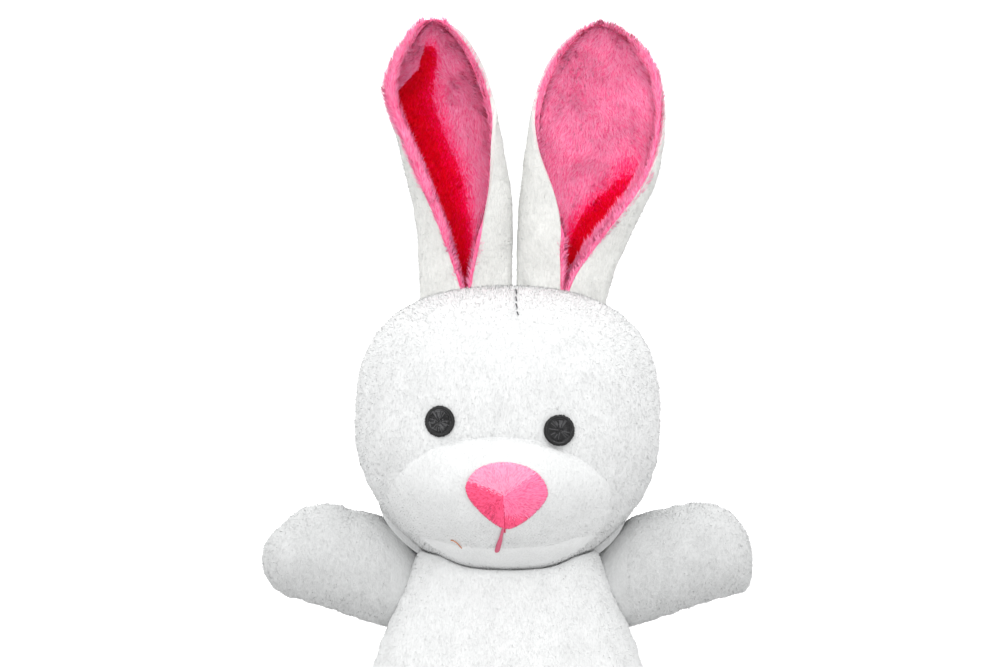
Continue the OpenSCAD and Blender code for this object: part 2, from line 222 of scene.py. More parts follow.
def head_ring(x, y):
    return (np.abs(x) / HEAD_HALF[0]) ** CHEEK_POWER + (np.abs(y) / HEAD_HALF[1]) ** CHEEK_POWER


def head_gauge(d):
    """1 for points on the head, about its middle, and more for those outside."""
    n = np.where(d[..., 2] >= 0, CROWN_POWER, CHIN_POWER)
    ring = head_ring(d[..., 0], d[..., 1])
    return (ring ** (n / CHEEK_POWER) + (np.abs(d[..., 2]) / HEAD_HALF[2]) ** n) ** (1 / n)


def head_point(azimuth, elevation):
    """The point of the head's surface in a direction from its middle."""
    d = np.stack([
        np.cos(azimuth) * np.cos(elevation),
        np.sin(azimuth) * np.cos(elevation),
        np.sin(elevation),
    ], -1)
    return d / head_gauge(d)[..., None]


def face_y(x, z):
    """How far the head's surface is in front of its middle plane."""
    n = np.where(z >= 0, CROWN_POWER, CHIN_POWER)
    level = np.maximum(1e-4, 1 - (np.abs(z) / HEAD_HALF[2]) ** n) ** (CHEEK_POWER / n)
    depth = np.maximum(1e-4, level - (np.abs(x) / HEAD_HALF[0]) ** CHEEK_POWER)
    return HEAD_HALF[1] * depth ** (1 / CHEEK_POWER)


def crown_z(x, y):
    """How high the crown is over the head's middle."""
    ring = head_ring(x, y)
    return HEAD_HALF[2] * np.maximum(0.05, 1 - ring ** (CROWN_POWER / CHEEK_POWER)) ** (1 / CROWN_POWER)


def muzzle_frame(x, z):
    """A place on the face in the muzzle's own frame, where its outline is a circle of 1."""
    dx = x - MUZZLE[0]
    dz = z - MUZZLE[1]
    px = dx * math.cos(MUZZLE_ROLL) - dz * math.sin(MUZZLE_ROLL)
    pz = dx * math.sin(MUZZLE_ROLL) + dz * math.cos(MUZZLE_ROLL)
    pz = pz / MUZZLE_HALF[1]
    return px / MUZZLE_HALF[0], np.where(pz < 0, pz / MUZZLE_DROP, pz)


def muzzle_dome(r):
    return np.maximum(0, 1 - np.clip(r, 0, 1) ** 2.4) ** 0.72


def muzzle_front(x, z):
    px, pz = muzzle_frame(x, z)
    r = np.minimum(1, np.hypot(px, pz))
    return face_y(x, z) + MUZZLE_BULGE * muzzle_dome(r)


# ---- Meshes ----

def attach(parts, body):
    """Let pieces move with a body."""
    for part in parts:
        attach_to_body(part, body)


def smooth_mesh(name, verts, faces):
    mesh = bpy.data.meshes.new(name)
    mesh.from_pydata((verts * MM).tolist(), [], faces)
    mesh.polygons.foreach_set("use_smooth", np.ones(len(mesh.polygons), bool))
    return mesh


def fast_mesh(name, verts, faces, materials, slots, normals):
    """A smooth-shaded mesh from arrays in millimetres; faces all have one size."""
    faces = np.asarray(faces, np.int32)
    count, corners = faces.shape
    mesh = bpy.data.meshes.new(name)
    mesh.vertices.add(len(verts))
    mesh.vertices.foreach_set("co", (np.asarray(verts) * MM).astype(np.float32).ravel())
    mesh.loops.add(count * corners)
    mesh.loops.foreach_set("vertex_index", faces.ravel())
    mesh.polygons.add(count)
    mesh.polygons.foreach_set("loop_start", np.arange(0, count * corners, corners, dtype=np.int32))
    mesh.polygons.foreach_set("use_smooth", np.ones(count, bool))
    mesh.polygons.foreach_set("material_index", np.asarray(slots, np.int32))
    mesh.update()
    mesh.validate()
    mesh.normals_split_custom_set_from_vertices(normals)
    return link(name, mesh, materials)


def grid_normals(grid, closed=False):
    """Normals of a grid [row, column, xyz]; the end columns of a closed one meet."""
    du = np.gradient(grid, axis=1)
    if closed:
        ring = np.concatenate([grid[:, -2:-1], grid, grid[:, 1:2]], axis=1)
        du = ring[:, 2:] - ring[:, :-2]
    return unit(np.cross(du, np.gradient(grid, axis=0)))


def shell(name, outer, inner, materials, wrap=False, cap=False):
    """A closed skin from two grids [row, column, xyz] of one shape."""
    rows, cols = outer.shape[:2]
    if wrap:
        cols -= 1
    if cap:
        rows -= 1

    def flat(grid):
        points = grid[:rows, :cols].reshape(-1, 3)
        return np.vstack([points, grid[-1:, 0]]) if cap else points

    verts = np.vstack([flat(outer), flat(inner)])
    half = len(verts) // 2
    ring = np.arange(cols if wrap else cols - 1)
    after = (ring + 1) % cols
    i, j = (index.ravel() for index in np.meshgrid(ring, np.arange(rows - 1)))
    k = (i + 1) % cols
    quads = np.stack([j * cols + i, j * cols + k, (j + 1) * cols + k, (j + 1) * cols + i], -1)
    faces = [quads, quads[:, ::-1] + half]
    faces.append(np.stack([after, ring, ring + half, after + half], -1))
    last = (rows - 1) * cols
    if cap:
        fan = np.stack([last + ring, last + after, np.full_like(ring, rows * cols)], -1)
    else:
        faces.append(np.stack([last + ring, last + after, last + after + half, last + ring + half], -1))
    if not wrap:
        side = np.arange(rows - 1)
        a, b = side * cols, (side + 1) * cols
        faces.append(np.stack([a, b, b + half, a + half], -1))
        a, b = a + cols - 1, b + cols - 1
        faces.append(np.stack([b, a, a + half, b + half], -1))
    polys = np.vstack(faces).tolist()
    if cap:
        polys += fan.tolist()
        polys += (fan[:, ::-1] + half).tolist()
    mesh = smooth_mesh(name, verts, polys)
    mesh.update()
    mesh.set_sharp_from_angle(angle=math.radians(55))
    return link(name, mesh, materials)


def cell_areas(grid):
    a, b, c, d = grid[:-1, :-1], grid[:-1, 1:], grid[1:, 1:], grid[1:, :-1]
    return np.linalg.norm(np.cross(c - a, d - b), axis=-1) / 2


def scatter(grid, normals, density, rng):
    """Random points on a grid surface: positions, normals and places in the grid."""
    area = cell_areas(grid)
    chance = (area / area.sum()).ravel()
    count = int(area.sum() * density)
    cell = rng.choice(chance.size, count, p=chance)
    j, i = np.divmod(cell, area.shape[1])
    u = rng.random(count)
    v = rng.random(count)

    def mix(g):
        return (
            g[j, i] * ((1 - u) * (1 - v))[:, None] + g[j, i + 1] * (u * (1 - v))[:, None]
            + g[j + 1, i + 1] * (u * v)[:, None] + g[j + 1, i] * ((1 - u) * v)[:, None]
        )

    return mix(grid), unit(mix(normals)), (j + v) / (grid.shape[0] - 1), (i + u) / (grid.shape[1] - 1)


def pile(name, roots, normals, nap, length, width, materials, rng, spread, curl, shares, clump=0.0):
    """Blades of pile standing on a surface, each a strip that narrows to a tip.
    shares is how common each material is, or the material of every blade."""
    count = len(roots)
    jitter = rng.normal(size=(count, 3)) * spread
    if clump:
        wave = np.stack([noise(roots, 2.6, s) for s in (11, 12, 13)], -1)
        wave = wave + 0.6 * np.stack([noise(roots, 6.5, s) for s in (14, 15, 16)], -1)
        jitter = jitter + clump * wave
    lean = nap - normals * np.sum(nap * normals, -1, keepdims=True)
    way = unit(normals + lean + jitter)
    way = unit(way + normals * np.maximum(0, 0.25 - np.sum(way * normals, -1, keepdims=True)))
    reach = (length * rng.uniform(0.7, 1.15, count))[:, None]
    side = unit(np.cross(way, normals + 0.25 * rng.normal(size=(count, 3)))) * width
    bend = unit(lean + 0.5 * rng.normal(size=(count, 3))) * curl * reach
    foot = roots - normals * 0.15
    middle = foot + way * reach * 0.55
    tip = foot + way * reach + bend
    corners = [foot - side, foot + side, middle + side * 0.8, middle - side * 0.8, tip]
    verts = np.stack(corners, 1).reshape(-1, 3)
    base = (np.arange(count) * 5)[:, None]
    faces = np.concatenate([base + [0, 1, 2], base + [0, 2, 3], base + [3, 2, 4]], 1).reshape(-1, 3)
    if isinstance(shares, np.ndarray):
        slots = shares
    else:
        slots = rng.choice(len(materials), count, p=shares)
    soft = unit(normals + 0.25 * rng.normal(size=(count, 3)) + 0.2 * way)
    return fast_mesh(name, verts, faces, materials, np.repeat(slots, 3), np.repeat(soft, 5, axis=0))


def tube(points, radius, sides=6, flat=1.0, up=(0, 0, 1)):
    """Vertices and quads of a round thread along points, closed at its ends."""
    points = np.asarray(points, float)
    along = unit(np.gradient(points, axis=0))
    right = unit(np.cross(along, up) + 1e-6)
    lift = unit(np.cross(right, along))
    angle = np.arange(sides) * 2 * math.pi / sides
    radius = np.broadcast_to(radius, len(points))[:, None, None]
    ring = right[:, None] * np.cos(angle)[:, None] + lift[:, None] * (np.sin(angle) * flat)[:, None]
    verts = (points[:, None] + ring * radius).reshape(-1, 3)
    faces = []
    for j in range(len(points) - 1):
        for i in range(sides):
            k = (i + 1) % sides
            faces.append([j * sides + i, j * sides + k, (j + 1) * sides + k, (j + 1) * sides + i])
    last = (len(points) - 1) * sides
    faces.append(list(range(sides))[::-1])
    faces.append([last + i for i in range(sides)])
    return verts, faces


def threads(name, strands, materials, slots=None):
    """One mesh of many threads; strands are (verts, faces) pairs."""
    verts = []
    faces = []
    marks = []
    start = 0
    for (v, f), slot in zip(strands, slots or [0] * len(strands)):
        verts.append(v)
        faces += [[index + start for index in face] for face in f]
        marks += [slot] * len(f)
        start += len(v)
    mesh = smooth_mesh(name, np.vstack(verts), faces)
    mesh.validate()
    mesh.polygons.foreach_set("material_index", np.array(marks[:len(mesh.polygons)], np.int32))
    mesh.update()
    return link(name, mesh, materials)


# ---- Materials ----

def linear(color):
    c = np.asarray(color, float) / 255
    return tuple(np.where(c <= 0.04045, c / 12.92, ((c + 0.055) / 1.055) ** 2.4)) + (1.0,)


def new_material(name, roughness, sheen):
    material = bpy.data.materials.new(name)
    material.use_nodes = True
    shader = material.node_tree.nodes["Principled BSDF"]
    give(shader, {
        "Roughness": roughness, "Specular IOR Level": 0.2,
        "Sheen Weight": sheen, "Sheen Roughness": 0.6, "Sheen Tint": (1, 1, 1, 1),
    })
    return material, material.node_tree.nodes, material.node_tree.links, shader


def strand_material(name, color, roughness=0.75, gloss=0.12):
    material, _, _, shader = new_material(name, roughness, 0.0)
    give(shader, {"Specular IOR Level": gloss, "Base Color": linear(color)})
    return material


def strand_materials(name, colors, *finish):
    """A material for each tone of a thread or of the pile."""
    return [strand_material(f"{name}_{n}", color, *finish) for n, color in enumerate(colors)]


def color_by(nodes, links, shader, height, tones, places=(0, 1)):
    """Colour a shader between two tones by a height from 0 to 1."""
    ramp = nodes.new("ShaderNodeValToRGB")
    for element, tone, place in zip(ramp.color_ramp.elements, tones, places):
        element.position = place
        element.color = linear(tone)
    links.new(height, ramp.inputs["Fac"])
    links.new(ramp.outputs["Color"], shader.inputs["Base Color"])


def raise_by(nodes, links, shader, height, depth, strength):
    """Raise a shader's surface by a height, as a bump of some millimetres."""
    raised = give(nodes.new("ShaderNodeBump"), {"Strength": strength, "Distance": depth * MM})
    links.new(height, raised.inputs["Height"])
    links.new(raised.outputs["Normal"], shader.inputs["Normal"])


def cloth_material(name, dark, light, grain, patch, bump, roughness=0.9, sheen=0.2, stretch=(1, 1, 1)):
    """Mottled cloth: fine grain over soft patches, the grain also raised."""
    material, nodes, links, shader = new_material(name, roughness, sheen)
    coords = nodes.new("ShaderNodeTexCoord")
    mapping = give(nodes.new("ShaderNodeMapping"), {"Scale": stretch})
    links.new(coords.outputs["Object"], mapping.inputs["Vector"])
    fine = give(nodes.new("ShaderNodeTexNoise"), {"Scale": 1 / (grain * MM), "Detail": 3})
    wide = give(nodes.new("ShaderNodeTexNoise"), {"Scale": 1 / (patch * MM), "Detail": 2})
    links.new(mapping.outputs["Vector"], fine.inputs["Vector"])
    links.new(coords.outputs["Object"], wide.inputs["Vector"])
    blend = nodes.new("ShaderNodeMix")
    blend.data_type = "FLOAT"
    give(blend, {"Factor": 0.45})
    links.new(fine.outputs["Fac"], blend.inputs["A"])
    links.new(wide.outputs["Fac"], blend.inputs["B"])
    color_by(nodes, links, shader, blend.outputs["Result"], (dark, light), (0.32, 0.68))
    raise_by(nodes, links, shader, fine.outputs["Fac"], bump, 0.6)
    return material


def woven_material(name, dark, light, pitch, bump):
    """Plain weave: two crossed bands of yarn."""
    material, nodes, links, shader = new_material(name, 0.85, 0.1)
    coords = nodes.new("ShaderNodeTexCoord")
    height = nodes.new("ShaderNodeMath")
    height.operation = "MAXIMUM"
    for n, way in enumerate(("X", "Z")):
        wave = nodes.new("ShaderNodeTexWave")
        wave.bands_direction = way
        give(wave, {"Scale": 0.314 / (pitch * MM), "Distortion": 0.6})
        links.new(coords.outputs["Object"], wave.inputs["Vector"])
        links.new(wave.outputs["Fac"], height.inputs[n])
    color_by(nodes, links, shader, height.outputs["Value"], (dark, light))
    raise_by(nodes, links, shader, height.outputs["Value"], bump, 1.0)
    return material


PLUSH_STRETCH = (1, 1, 0.45)
WHITE = cloth_material(
    "white_plush", (206, 207, 207), (220, 221, 221), 0.7, 9, 0.35, stretch=PLUSH_STRETCH)
# Painted shade: a darker copy of the white plush for the arms, which are of the same plush.
WHITE_ARM_PAINTED_SHADE = cloth_material(
    "white_plush_arm_painted_shade", (184, 185, 185), (198, 199, 199), 0.7, 9, 0.35, stretch=PLUSH_STRETCH)
WHITE_EAR = cloth_material(
    "white_plush_ear", (202, 202, 199), (220, 220, 217), 0.7, 6, 0.5, stretch=PLUSH_STRETCH)
PINK = cloth_material("pink_backing", (244, 84, 138), (255, 124, 172), 1.2, 8, 0.6)
COTTON = woven_material("cotton_lining", (205, 203, 198), (236, 234, 229), 0.5, 0.15)
# Painted shade: the pink backing in a deep red, for where the ears' folds are in shadow.
PINK_BACKING_PAINTED_SHADE = cloth_material("pink_backing_painted_shade", (212, 0, 18), (228, 0, 32), 1.2, 8, 0.6, sheen=0.0)
WADDING = cloth_material("wadding", (225, 225, 220), (244, 244, 240), 2.5, 12, 1.0)
WHITE_PILE = strand_materials("white_pile", [(222, 223, 223), (214, 215, 215), (206, 207, 207)])
PINK_PILE = strand_materials(
    "pink_pile", [(255, 160, 198), (254, 138, 182), (252, 108, 160), (240, 80, 138)], 0.6)
# Painted shade: pile tones from pink to deep red for the ears' shaded fold, though the pile is one colour.
PINK_PILE_PAINTED_SHADE = strand_materials(
    "pink_pile_painted_shade", [(255, 96, 152), (255, 52, 120), (255, 8, 82), (236, 0, 34), (216, 0, 20)], 0.8, 0.0)
# Black thread; the last, grey tone is a painted glint on it.
BLACK_AND_GLINT = strand_materials("black_thread", [(14, 14, 15), (30, 30, 32), (8, 8, 9), (84, 84, 86)], 0.38, 0.5)
# One nose thread in lit and shaded tones: the lighter ones are painted highlight, the darker ones painted
# shade.
ROSE_LIT_AND_SHADED = strand_materials("rose", [
    (246, 154, 186), (240, 134, 170), (250, 126, 168), (238, 100, 146), (250, 88, 134), (232, 66, 112),
], 0.5, 0.4)
ROSE_LINE = strand_materials("rose_line", [(212, 108, 134), (206, 38, 84)], 0.55)
TAN = strand_material("tan_thread", (190, 122, 84), 0.6)
GREY = strand_material("grey_thread", (70, 70, 74), 0.6)
COTTON_THREAD = strand_material("white_thread", (214, 214, 212), 0.6)


# ---- Head ----

def seam_x(z):
    """Where the forehead seam runs, height by height."""
    return 2.6 + 7.0 * smooth(-z, -46, -14) - 11.0 * smooth(-z, -12, 8)


def head_relief(p):
    """Height of seams, puckers and soft lumps on the head at points p."""
    x, y, z = p[..., 0], p[..., 1], p[..., 2]
    lumps = 0.55 * noise(p, 26, 3) + 0.25 * noise(p, 11, 4)
    front = smooth(-y, 6, 16)
    away = np.abs(x - seam_x(z))
    forehead = -0.5 * bell(away, 0.9) * smooth(z, 24, 42) * front
    forehead = forehead - 0.3 * bell(away, 2.6) * smooth(z, -6, 26) * front
    side = np.abs(y - 1.0)
    groove = -1.0 * bell(side, 1.1) - 0.5 * bell(side, 4.5)
    crimp = np.sin(z * 0.95 + 2.2 * noise(p, 9, 5)) * (0.5 + 0.5 * noise(p, 14, 6))
    pucker = 0.55 * crimp * bell(side, 6.0) * smooth(np.abs(x), 20, 40)
    mx, mz = muzzle_frame(x, z)
    rim = np.hypot(mx, mz) - 1
    fold = -0.5 * bell(rim, 0.07) * front * (1 - smooth(np.abs(mx), 0.45, 0.85))
    dent = 0
    for ex, ez in EYES.values():
        d2 = (x - ex) ** 2 + (z - ez) ** 2
        dent = dent - 0.55 * np.exp(-d2 / 90) * front
    return lumps + forehead + groove + pucker + fold + dent


def head_grid(from_azimuth, to_azimuth, columns, rows=120):
    """Outer and inner surface of a head panel, borders given per elevation."""
    levels = np.linspace(math.radians(-76), math.radians(89.3), rows)
    share, elevation = grids(np.linspace(0, 1, columns), levels)
    first = from_azimuth(levels)[:, None]
    last = to_azimuth(levels)[:, None]
    azimuth = first + (last - first) * share
    base = head_point(azimuth, elevation)
    under = smooth(-elevation, math.radians(34), math.radians(52))[..., None]
    chin = smooth(-np.sin(azimuth), 0.4, 0.9)[..., None]
    base = base + under * (unit(base) * (UNDERSIDE_RADIUS + CHIN_FULLNESS * chin) - base)
    normal = grid_normals(base)
    outer = base + normal * head_relief(base)[..., None] * (1 - 0.8 * under)
    inner = outer - unit(base) * 1.6
    return outer + HEAD, inner + HEAD


def seam_azimuth(elevation):
    """The border of both front panels: the forehead seam."""
    p = head_point(np.full_like(elevation, -math.pi / 2), elevation)
    shift = np.clip(seam_x(p[:, 2]) / np.maximum(np.abs(p[:, 1]), 4), -0.5, 0.5)
    return -math.pi / 2 + shift * smooth(np.abs(p[:, 1]), 2, 12)


def hidden_face(p):
    """True where the muzzle or an eye covers the face."""
    q = p - HEAD
    mx, mz = muzzle_frame(q[:, 0], q[:, 2])
    cover = (np.hypot(mx, mz) < 0.97) & (q[:, 1] < 0)
    for ex, ez in EYES.values():
        cover |= ((q[:, 0] - ex) ** 2 + (q[:, 2] - ez) ** 2 < 5.2**2) & (q[:, 1] < 0)
    return cover


def border(azimuth):
    """A border that keeps one azimuth at every elevation."""
    return lambda elevation: np.full_like(elevation, azimuth)


def white_fuzz(name, outer, rng, density, length, down=0.9, hide=None, closed=False):
    """Short white pile on a grid, combed down and left out where hide says so."""
    normals = grid_normals(outer, closed)
    roots, ns, _, _ = scatter(outer, normals, density, rng)
    if hide is not None:
        keep = ~hide(roots)
        roots, ns = roots[keep], ns[keep]
    nap = np.tile(np.array([0.0, 0.0, -down]), (len(roots), 1))
    width, shares = 0.055, [0.4, 0.4, 0.2]
    return pile(name, roots, ns, nap, length, width, WHITE_PILE, rng, spread=0.4, curl=0.2, shares=shares)


def make_head():
    """Two front panels that meet at the forehead seam, and the back panel."""
    rng = np.random.default_rng(7)
    lap = 0.02
    panels = (
        ("head_front_left", seam_azimuth, border(lap), 90),
        ("head_front_right", border(-math.pi - lap), seam_azimuth, 90),
        ("head_back", border(lap), border(math.pi - lap), 150),
    )
    for name, start, stop, columns in panels:
        outer, inner = head_grid(start, stop, columns)
        piece = shell(name, outer, inner, [WHITE])
        fuzz = white_fuzz(name + "_pile", outer, rng, 3.0, 0.95, hide=hidden_face)
        attach((piece, fuzz), "head")
        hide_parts(name + "_panel")


def make_muzzle():
    """The muzzle: a clear ridge above and below that fades into the cheeks."""
    rng = np.random.default_rng(8)
    turn, r = grids(np.linspace(0, -2 * math.pi, 181), np.linspace(1.16, 0, 80))

    def surface(r, lift):
        px = MUZZLE_HALF[0] * r * np.cos(turn)
        pz = MUZZLE_HALF[1] * r * np.sin(turn) * np.where(np.sin(turn) < 0, MUZZLE_DROP, 1)
        x = MUZZLE[0] + px * math.cos(MUZZLE_ROLL) + pz * math.sin(MUZZLE_ROLL)
        z = MUZZLE[1] - px * math.sin(MUZZLE_ROLL) + pz * math.cos(MUZZLE_ROLL)
        side = smooth(np.abs(np.cos(turn)) * r, 0.35, 0.9)
        soft = 0.5 + 0.5 * np.cos(math.pi * np.clip(r / 1.13, 0, 1) ** 1.7)
        bulge = MUZZLE_BULGE * (muzzle_dome(r) * (1 - side) + soft * side)
        return np.stack([x, -face_y(x, z) - bulge - lift, z], -1)

    outer = surface(r, 0.25 - 1.6 * smooth(r, 0.9, 1.1))
    relief = 0.35 * noise(outer, 17, 21) + 0.2 * noise(outer, 7, 22)
    outer = outer + grid_normals(outer, closed=True) * (relief * smooth(1 - r, 0, 0.15))[..., None]
    inner = surface(r * 0.99, -1.3)
    outer, inner = outer + HEAD, inner + HEAD
    piece = shell("muzzle", outer, inner, [WHITE], wrap=True, cap=True)

    def under_nose(p):
        q = p - HEAD
        mx, mz = muzzle_frame(q[:, 0], q[:, 2])
        return (nose_level(q[:, 0], q[:, 2]) < 0.97) | (np.hypot(mx, mz) > 1.02)

    fuzz = white_fuzz("muzzle_pile", outer, rng, 3.0, 0.9, hide=under_nose, closed=True)
    attach((piece, fuzz), "head")
    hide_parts("muzzle_panel")


# ---- Embroidery ----

NOSE = (-0.5, -22.0)
NOSE_HALF = (14.0, 11.4)
NOSE_MIDDLE = (-1.6, -22.4)


def nose_outline(angle):
    """Half size of the nose in each direction from its middle."""
    c, s = np.cos(angle), np.sin(angle)
    narrow = np.where(s < 0, 1 - 0.38 * np.abs(s) ** 1.8, 1 - 0.1 * s)
    across = NOSE_HALF[0] * c * narrow
    return NOSE[0] + across, NOSE[1] + NOSE_HALF[1] * s + 1.9 * (1 - s * s) - 0.05 * across


def nose_level(x, z):
    """Under 1 inside the nose's outline."""
    angle = np.linspace(-math.pi, math.pi, 181)
    ox, oz = nose_outline(angle)
    bearing = np.arctan2(oz - NOSE[1], ox - NOSE[0])
    reach = np.hypot(ox - NOSE[0], oz - NOSE[1])
    order = np.argsort(bearing)
    limit = np.interp(np.arctan2(z - NOSE[1], x - NOSE[0]), bearing[order], reach[order], period=2 * math.pi)
    return np.hypot(x - NOSE[0], z - NOSE[1]) / limit


def on_muzzle(x, z, lift):
    return np.stack([x, -muzzle_front(x, z) - lift, z], -1) + HEAD


def nose_stitch(angle, r0, r1, lift, width):
    """One short stitch along a ray from the middle of the nose."""
    t = np.linspace(r0, r1, 5)
    ox, oz = nose_outline(np.full(5, angle))
    x = NOSE_MIDDLE[0] + (ox - NOSE_MIDDLE[0]) * t
    z = NOSE_MIDDLE[1] + (oz - NOSE_MIDDLE[1]) * t
    level = np.clip(t, 0, 1)
    rise = 0.95 + 0.95 * (1 - level**2) ** 0.6 + lift * np.array([-1.3, 0.6, 1, 0.6, -1.3])
    return tube(on_muzzle(x, z, rise), width, 5, 0.85, up=(0, -1, 0)), x[2], z[2]


def make_nose():
    """Rings of short satin stitches that fan out from a point over the lip."""
    rng = np.random.default_rng(9)
    strands = []
    slots = []
    for ring in range(26):
        middle = 0.03 + 0.95 * ring / 25
        count = int(10 + 190 * middle)
        for n in range(count):
            angle = 2 * math.pi * (n + 0.5 * (ring % 2) + rng.uniform(-0.25, 0.25)) / count
            reach = rng.uniform(0.05, 0.085)
            far = min(middle + reach, 1.0 + 0.02 * rng.random())
            stitch, x, z = nose_stitch(angle, max(0.0, middle - reach), far, 0.1, rng.uniform(0.15, 0.2))
            strands.append(stitch)
            # Tone by place: the top gets the light tones as painted highlight, the left and lower part the
            # dark ones as painted shade.
            aside, over = x - NOSE_MIDDLE[0], z - NOSE_MIDDLE[1] + rng.normal() * 0.6
            if over > 0.5 + (0.7 if aside > 0 else 0.42) * abs(aside):
                tone = 0
            else:
                tone = 1 if aside > 0 and over > -7 else 2
            slots.append(2 * tone + int(rng.random() < 0.35))
    stitches = threads("nose_stitches", strands, ROSE_LIT_AND_SHADED, slots)
    turn, r = grids(np.linspace(0, -2 * math.pi, 73), np.linspace(0.99, 0, 24))
    ox, oz = nose_outline(turn)
    x = NOSE[0] + (ox - NOSE[0]) * r
    z = NOSE[1] + (oz - NOSE[1]) * r
    top = on_muzzle(x, z, 0.5 + 0.9 * (1 - r**2) ** 0.6)
    base = shell("nose_base", top, on_muzzle(x, z, -0.2), [ROSE_LIT_AND_SHADED[3]], wrap=True, cap=True)
    line = []
    for n in range(8):
        z = -25.0 - 1.25 * n - np.linspace(0, 1.15, 4)
        x = np.full(4, -1.5 + 0.06 * n)
        level = np.clip(nose_level(x, z), 0, 1)
        rise = 1.05 + 0.9 * (1 - level**2) ** 0.6
        line.append(tube(on_muzzle(x, z, rise), 0.24, 5, up=(0, -1, 0)))
    crease = threads("nose_line", line, [ROSE_LINE[1]])
    attach((stitches, base, crease), "head")
    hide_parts("nose_embroidery")


def sew(name, strands, material, node):
    """Threads on the head that stand for one of the CAD's nodes."""
    piece = threads(name, strands, [material])
    attach((piece,), "head")
    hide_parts(node)


def make_mouth():
    """A satin stroke, thin at the nose: slanted stitches laid side by side."""
    strands = []
    for t in np.linspace(0, 1, 30):
        x0 = -1.6 - 2.5 * t
        z0 = -33.3 - 9.3 * t
        half = (0.55 + 0.4 * smooth(t, 0.25, 0.6)) * (1 - 0.5 * smooth(t, 0.9, 1.0))
        across = np.linspace(-half, half, 5)
        rise = 0.3 + 0.4 * (1 - (across / (half + 0.05)) ** 2)
        points = on_muzzle(x0 + across * 0.93, z0 + across * 0.45, rise + 0.75)
        strands.append(tube(points, 0.2, 5, up=(0, -1, 0)))
    sew("mouth", strands, ROSE_LINE[0], "mouth_stitch")


def eye_frame(x, z):
    """The skin at an eye: its place, and its ways right, up and out."""

    def skin(px, pz):
        return np.array([px, -float(face_y(np.array(px), np.array(pz))), pz])

    step = 1.0
    right = unit(skin(x + step, z) - skin(x - step, z))
    up = skin(x, z + step) - skin(x, z - step)
    out = unit(np.cross(right, up))
    return skin(x, z) + HEAD, right, np.cross(out, right), out


def make_eye(side, seed):
    """An embroidered disc: a thread wound from the middle under a satin rim."""
    rng = np.random.default_rng(seed)
    here, right, up, out = eye_frame(*EYES[side])
    here = here - out * 0.45
    radius = EYE_RADIUS
    strands = []
    slots = []

    def place(px, pz, lift):
        return here + np.outer(px, right) + np.outer(pz, up) + np.outer(lift, out)

    def crown(reach):
        return np.sqrt(1 - (reach / radius) ** 2)

    def stitch(reach, angle, lift, width, shares):
        """A thread through polar points, in a tone picked by its share."""
        points = place(reach * np.cos(angle), reach * np.sin(angle), lift)
        strands.append(tube(points, width, 5, up=out))
        slots.append(int(rng.choice(len(shares), p=shares)))

    turns = 9
    steps = turns * 26
    t = np.linspace(0.03, 1, steps)
    angle = 2 * math.pi * turns * t
    r = (radius - 1.0) * t
    lift = 1.15 + 0.35 * crown(r) + 0.05 * rng.normal(size=steps)
    # The grey tone among the wound and radial threads is a painted glint.
    for n in range(0, steps - 5, 4):
        piece = slice(n, n + 6)
        stitch(r[piece], angle[piece], lift[piece], 0.25, [0.3, 0.32, 0.2, 0.18])
    rays = 46
    for n in range(rays):
        angle = 2 * math.pi * (n + rng.uniform(-0.3, 0.3)) / rays
        s = np.linspace(rng.uniform(0.3, 2.2), radius - 1.3 - rng.uniform(0, 0.8), 5)
        lift = 1.4 + 0.35 * crown(s) + 0.08 * rng.normal()
        stitch(s, angle, lift, 0.13, [0.3, 0.3, 0.1, 0.3])
    rim = 84
    for n in range(rim):
        s = np.linspace(radius - 1.35, radius + 0.06 * rng.normal(), 6)
        twist = 2 * math.pi * n / rim + 0.10 * (s - radius)
        lift = 0.75 + 0.75 * np.sin(np.linspace(0.35, 2.75, 6))
        stitch(s, twist, lift, 0.21, [0.6, 0.1, 0.3])
    ring = 2 * math.pi * np.linspace(0, 1, 60)
    s = radius - 1.25
    strands.append(tube(place(s * np.cos(ring), s * np.sin(ring), np.full(60, 1.5)), 0.16, 5, up=out))
    slots.append(1)
    name = f"{side}_eye_stitches"
    stitches = threads(name, strands, BLACK_AND_GLINT, slots)
    turn = np.linspace(0, 2 * math.pi, 49)

    def disc(height):
        """A round grid under the stitches, with a height for each distance."""
        return np.stack([
            place(q * np.cos(turn), q * np.sin(turn), np.full(49, height(q)))
            for q in np.linspace(radius - 0.1, 0, 8)])

    top = disc(lambda q: 0.9 + 0.3 * crown(q))
    base = shell(name + "_base", top, disc(lambda q: -0.3), [BLACK_AND_GLINT[2]], wrap=True, cap=True)
    attach((stitches, base), "head")
    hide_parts(f"{side}_eye")


def make_small_stitches():
    """The forehead dashes, the loose thread at the muzzle and the ladder at the neck."""
    dashes = []
    for z0, z1 in ((49.3, 47.6), (46.6, 45.2), (44.2, 42.6), (41.4, 40.3)):
        z = np.linspace(z0, z1, 5)
        x = seam_x(z) + 0.1 + 0.25 * np.linspace(0, 1, 5)
        y = -face_y(x, z) - 0.15
        dashes.append(tube(np.stack([x, y, z], -1) + HEAD, 0.2, up=(0, -1, 0)))
    sew("forehead_thread", dashes, GREY, "forehead_stitches")
    t = np.linspace(0, 1, 12)
    x = -19.8 + 4.8 * t
    z = -37.8 - 3.2 * t + 0.5 * np.sin(t * 5)
    y = -muzzle_front(x, z) - 0.9 - 0.8 * np.sin(t * 3)
    loose = tube(np.stack([x, y, z], -1) + HEAD, 0.19, 6)
    sew("loose_thread", [loose], TAN, "chin_thread")
    ladder = []
    for k in range(-2, 4):
        azimuth = math.radians(-93 + 5.5 * k)
        ring = np.radians(np.linspace(-62, -68, 6))
        p = head_point(azimuth + 0.03 * np.linspace(0, 1, 6), ring)
        p = p * (1 + 0.012 + 0.012 * np.sin(np.linspace(0, math.pi, 6)))[:, None]
        ladder.append(tube(p + HEAD, 0.28, 6))
    sew("neck_ladder", ladder, COTTON_THREAD, "neck_stitches")


# ---- Ears ----

